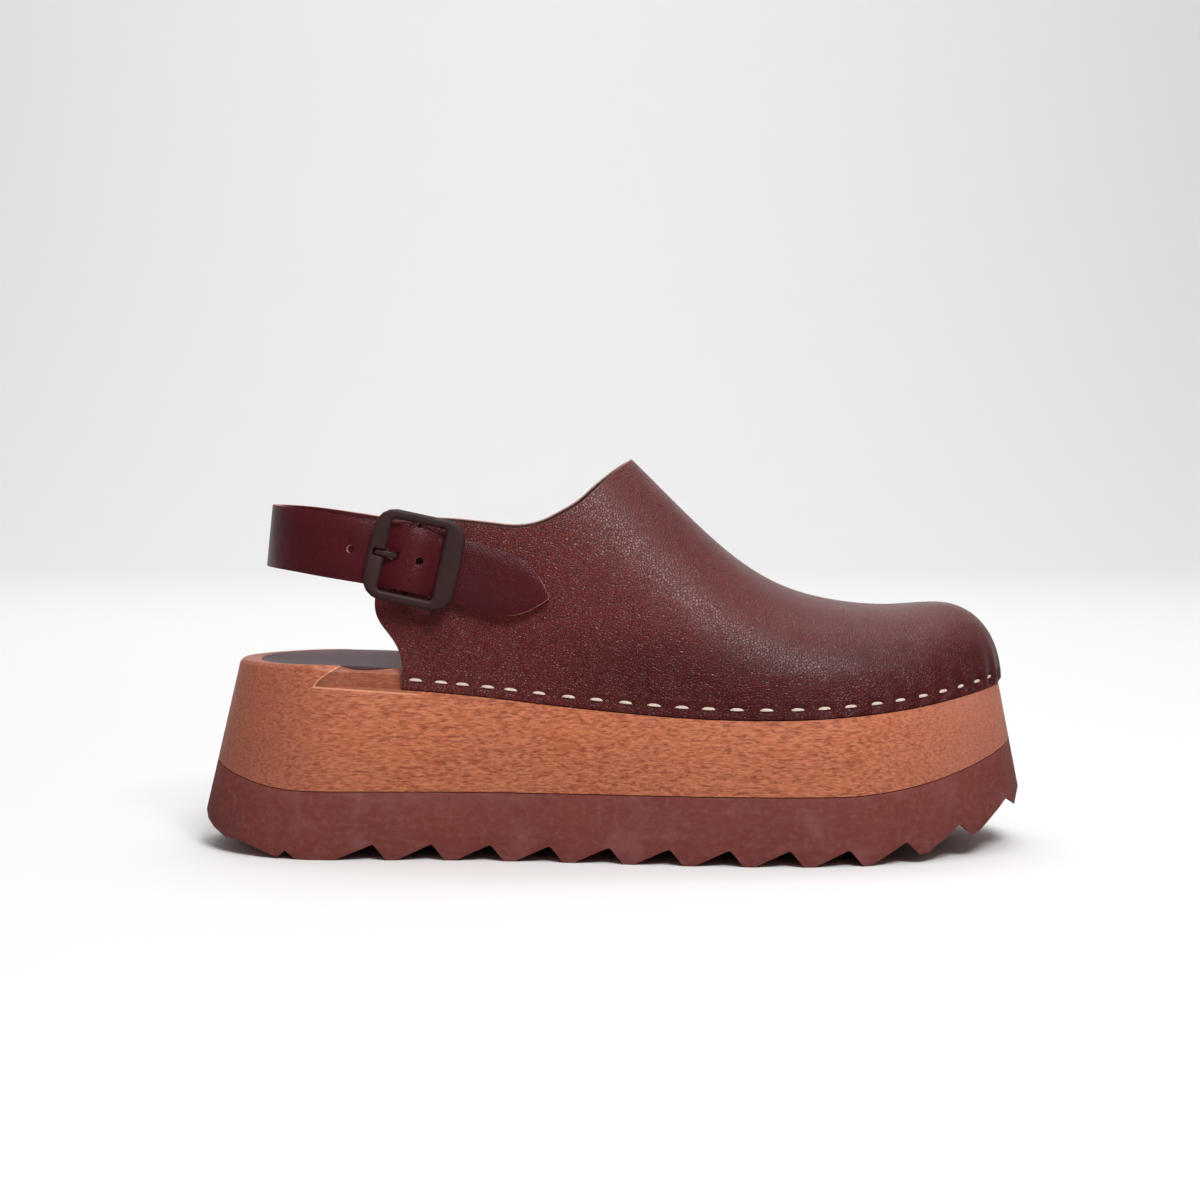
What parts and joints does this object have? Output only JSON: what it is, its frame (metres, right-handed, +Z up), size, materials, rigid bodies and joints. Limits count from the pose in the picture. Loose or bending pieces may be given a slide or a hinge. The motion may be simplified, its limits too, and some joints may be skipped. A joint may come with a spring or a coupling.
{
  "type": "clog",
  "caption": "High wooden-soled slingback clog for the right foot: lugged rubber outsole, carved wooden sole, one-piece leather upper and buckled heel strap.",
  "frame": {"origin": "on the floor under the middle of the shoe's bounding box", "axes": "+X towards the toe, +Y towards the inner side of the right foot, +Z up"},
  "size_m": [0.27, 0.1024, 0.1272],
  "materials": {
    "rubber": "matt moulded rubber",
    "wood": "stained and waxed fine-grained wood",
    "sock": "smooth thin leather",
    "leather": "smooth vegetable-tanned leather with a soft shine",
    "strap": "smooth vegetable-tanned leather with raw edges",
    "metal": "matt dark brown coating"
  },
  "bodies": {
    "root": {"outsole": "rubber", "wood_sole": "wood", "insole": "sock", "upper": "leather", "heel_strap": "strap", "buckle_frame": "metal", "buckle_prong": "metal", "strap_rivet": "metal"}
  },
  "joints": []
}
